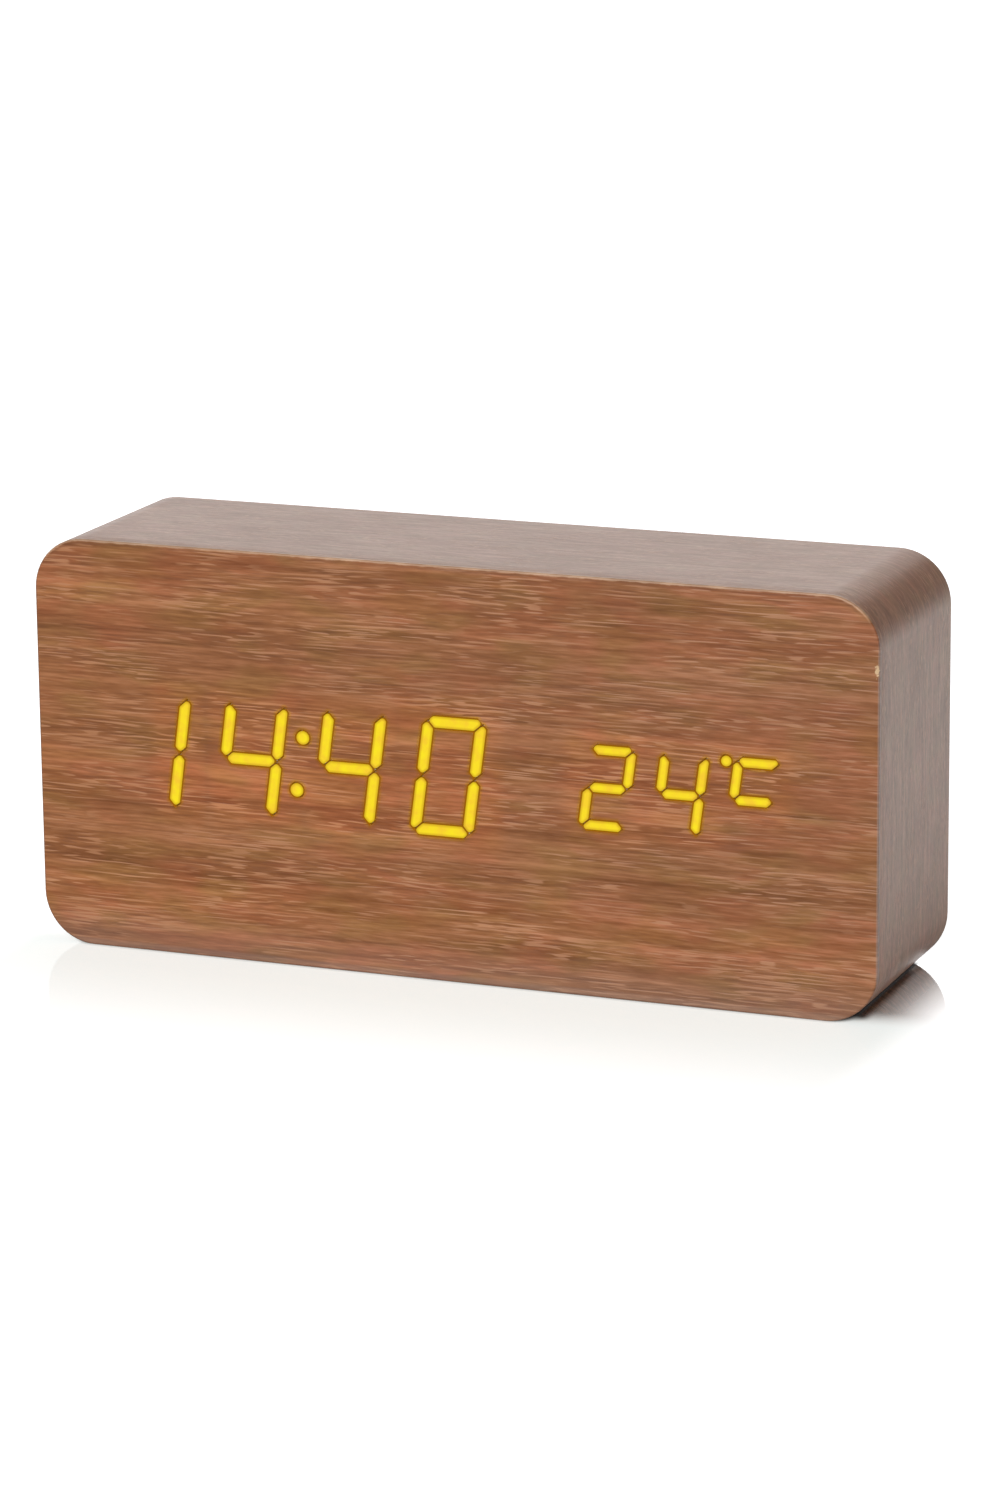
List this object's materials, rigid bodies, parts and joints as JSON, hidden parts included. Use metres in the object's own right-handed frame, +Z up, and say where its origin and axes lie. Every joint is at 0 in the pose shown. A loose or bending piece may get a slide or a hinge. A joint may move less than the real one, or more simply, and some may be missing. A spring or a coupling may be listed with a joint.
{
  "type": "led desk clock",
  "caption": "Block-shaped desk clock with rounded corners, lit time and temperature digits in a wood-grain front, rear push buttons, a power socket and a hinged battery flap.",
  "frame": {"origin": "middle of the base, on the surface that the clock stands on", "axes": "+Z up, +X to the right as seen from the front, the lit front faces -Y"},
  "size_m": [0.15, 0.039, 0.071],
  "materials": {
    "case_wood": "satin wood-grain film",
    "front_wood": "satin walnut-grain film",
    "lit_yellow": "lit",
    "black_film": "matt",
    "white_film": "matt",
    "white_plastic": "moulded",
    "circuit_board": "solder mask",
    "light_chip": "clear",
    "chip_black": "moulded",
    "can_metal": "nickel plated",
    "screw_steel": "zinc plated",
    "screw_black": "black oxide",
    "contact_metal": "nickel plated",
    "ivory_plastic": "moulded",
    "ribbon_grey": "extruded",
    "cover_plastic": "fine texture",
    "door_plastic": "fine texture",
    "button_plastic": "satin",
    "cell_sleeve": "printed film",
    "lead_red": "insulation",
    "lead_black": "insulation"
  },
  "bodies": {
    "case": {"case_body": "case_wood", "front_panel": "front_wood", "lit_hour_tens": "lit_yellow", "lit_hour_units": "lit_yellow", "lit_colon": "lit_yellow", "lit_minute_tens": "lit_yellow", "lit_minute_units": "lit_yellow", "lit_temp_tens": "lit_yellow", "lit_temp_units": "lit_yellow", "lit_celsius": "lit_yellow", "light_mask": "black_film", "diffuser_sheet": "white_film", "segment_frame": "white_plastic", "display_board": "circuit_board", "display_leds": "light_chip", "driver_chip": "chip_black", "display_screws": "screw_steel", "control_board": "circuit_board", "microcontroller": "chip_black", "crystal": "can_metal", "buzzer": "chip_black", "microphone": "can_metal", "temperature_probe": "chip_black", "backup_cell_holder": "chip_black", "backup_cell": "can_metal", "tact_switches": "chip_black", "sound_switch_body": "can_metal", "usb_shell": "can_metal", "usb_tongue": "chip_black", "ribbon_sockets": "ivory_plastic", "ribbon_cable": "ribbon_grey", "control_board_screws": "screw_steel", "rear_cover": "cover_plastic", "rear_cover_screws": "screw_black", "battery_cells": "can_metal", "battery_sleeves": "cell_sleeve", "battery_springs": "contact_metal", "battery_plates": "contact_metal", "battery_lead_positive": "lead_red", "battery_lead_negative": "lead_black"},
    "set_key": {"set_button": "button_plastic", "set_plunger": "ivory_plastic"},
    "up_key": {"up_button": "button_plastic", "up_plunger": "ivory_plastic"},
    "down_key": {"down_button": "button_plastic", "down_plunger": "ivory_plastic"},
    "sound_knob": {"sound_switch_knob": "button_plastic"},
    "flap": {"battery_door": "door_plastic"}
  },
  "joints": [
    {"name": "set_press", "type": "slide", "parent": "case", "child": "set_key", "axis": [0, -1, 0], "range_m": [0, 0.0006], "stiffness_N_per_m": 500},
    {"name": "up_press", "type": "slide", "parent": "case", "child": "up_key", "axis": [0, -1, 0], "range_m": [0, 0.0006], "stiffness_N_per_m": 500},
    {"name": "down_press", "type": "slide", "parent": "case", "child": "down_key", "axis": [0, -1, 0], "range_m": [0, 0.0006], "stiffness_N_per_m": 500},
    {"name": "sound_slide", "type": "slide", "parent": "case", "child": "sound_knob", "axis": [1, 0, 0], "range_m": [0, 0.002]},
    {"name": "flap_hinge", "type": "hinge", "parent": "case", "child": "flap", "pos_m": [0.034, 0.0181, 0.01825], "axis": [-1, 0, 0], "range_deg": [0, 95]}
  ]
}
